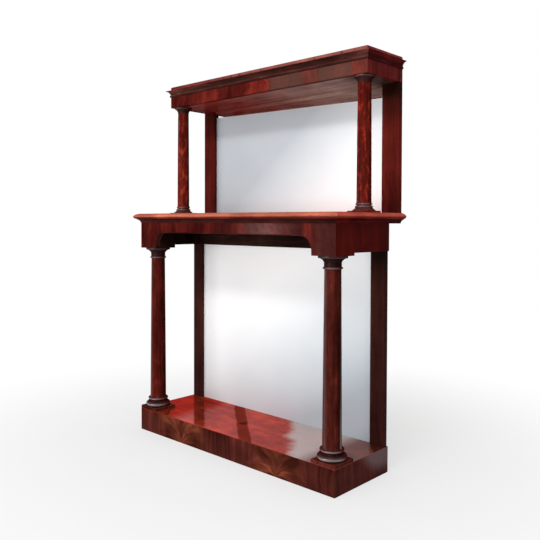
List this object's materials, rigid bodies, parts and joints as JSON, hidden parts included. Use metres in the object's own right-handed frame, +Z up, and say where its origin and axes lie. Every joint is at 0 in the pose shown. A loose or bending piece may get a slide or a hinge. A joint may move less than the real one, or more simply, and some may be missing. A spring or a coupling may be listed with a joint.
{
  "type": "pier table",
  "caption": "Two-stage pier table in flame mahogany with turned columns, arched apron, moulded top and cornice, and mirror backs on both stages.",
  "frame": {"origin": "on the floor, under the middle of the whole piece", "axes": "+X to the right seen from the front, +Y to the back, +Z up"},
  "size_m": [1.066, 0.397, 1.447],
  "materials": {
    "mahogany": "french polished flame mahogany",
    "ebonised": "ebonised and french polished",
    "pine": "plain aged pine",
    "mirror": "silvered mirror glass",
    "steel": "aged steel"
  },
  "bodies": {
    "root": {"apron_bead": "mahogany", "base_back_rail": "pine", "base_bearers": "pine", "base_front_board": "mahogany", "base_left_end": "mahogany", "base_right_end": "mahogany", "base_top_board": "mahogany", "cornice_back": "pine", "cornice_front": "mahogany", "cornice_left": "mahogany", "cornice_right": "mahogany", "cornice_top_board": "mahogany", "frieze_back_rail": "mahogany", "frieze_bearers": "pine", "frieze_column_blocks": "pine", "frieze_front_apron": "mahogany", "frieze_left_end": "mahogany", "frieze_right_end": "mahogany", "glue_blocks": "pine", "lower_left_abacus": "mahogany", "lower_left_capital": "ebonised", "lower_left_column_base": "ebonised", "lower_left_column_shaft": "mahogany", "lower_left_plinth_block": "mahogany", "lower_left_rear_post": "mahogany", "lower_mirror_backboard": "pine", "lower_mirror_plate": "mirror", "lower_right_abacus": "mahogany", "lower_right_capital": "ebonised", "lower_right_column_base": "ebonised", "lower_right_column_shaft": "mahogany", "lower_right_plinth_block": "mahogany", "lower_right_rear_post": "mahogany", "soffit_bead": "mahogany", "soffit_board": "mahogany", "table_top_board": "mahogany", "top_frame_back": "pine", "top_frame_front": "mahogany", "top_frame_left": "mahogany", "top_frame_right": "mahogany", "top_nosing_front": "mahogany", "top_nosing_left": "mahogany", "top_nosing_right": "mahogany", "upper_frieze_back": "pine", "upper_frieze_front": "mahogany", "upper_frieze_left": "mahogany", "upper_frieze_right": "mahogany", "upper_left_capital": "ebonised", "upper_left_column_base": "ebonised", "upper_left_column_shaft": "mahogany", "upper_left_plinth_block": "mahogany", "upper_left_rear_post": "mahogany", "upper_mirror_backboard": "pine", "upper_mirror_plate": "mirror", "upper_right_capital": "ebonised", "upper_right_column_base": "ebonised", "upper_right_column_shaft": "mahogany", "upper_right_plinth_block": "mahogany", "upper_right_rear_post": "mahogany", "wood_screws": "steel"}
  },
  "joints": []
}
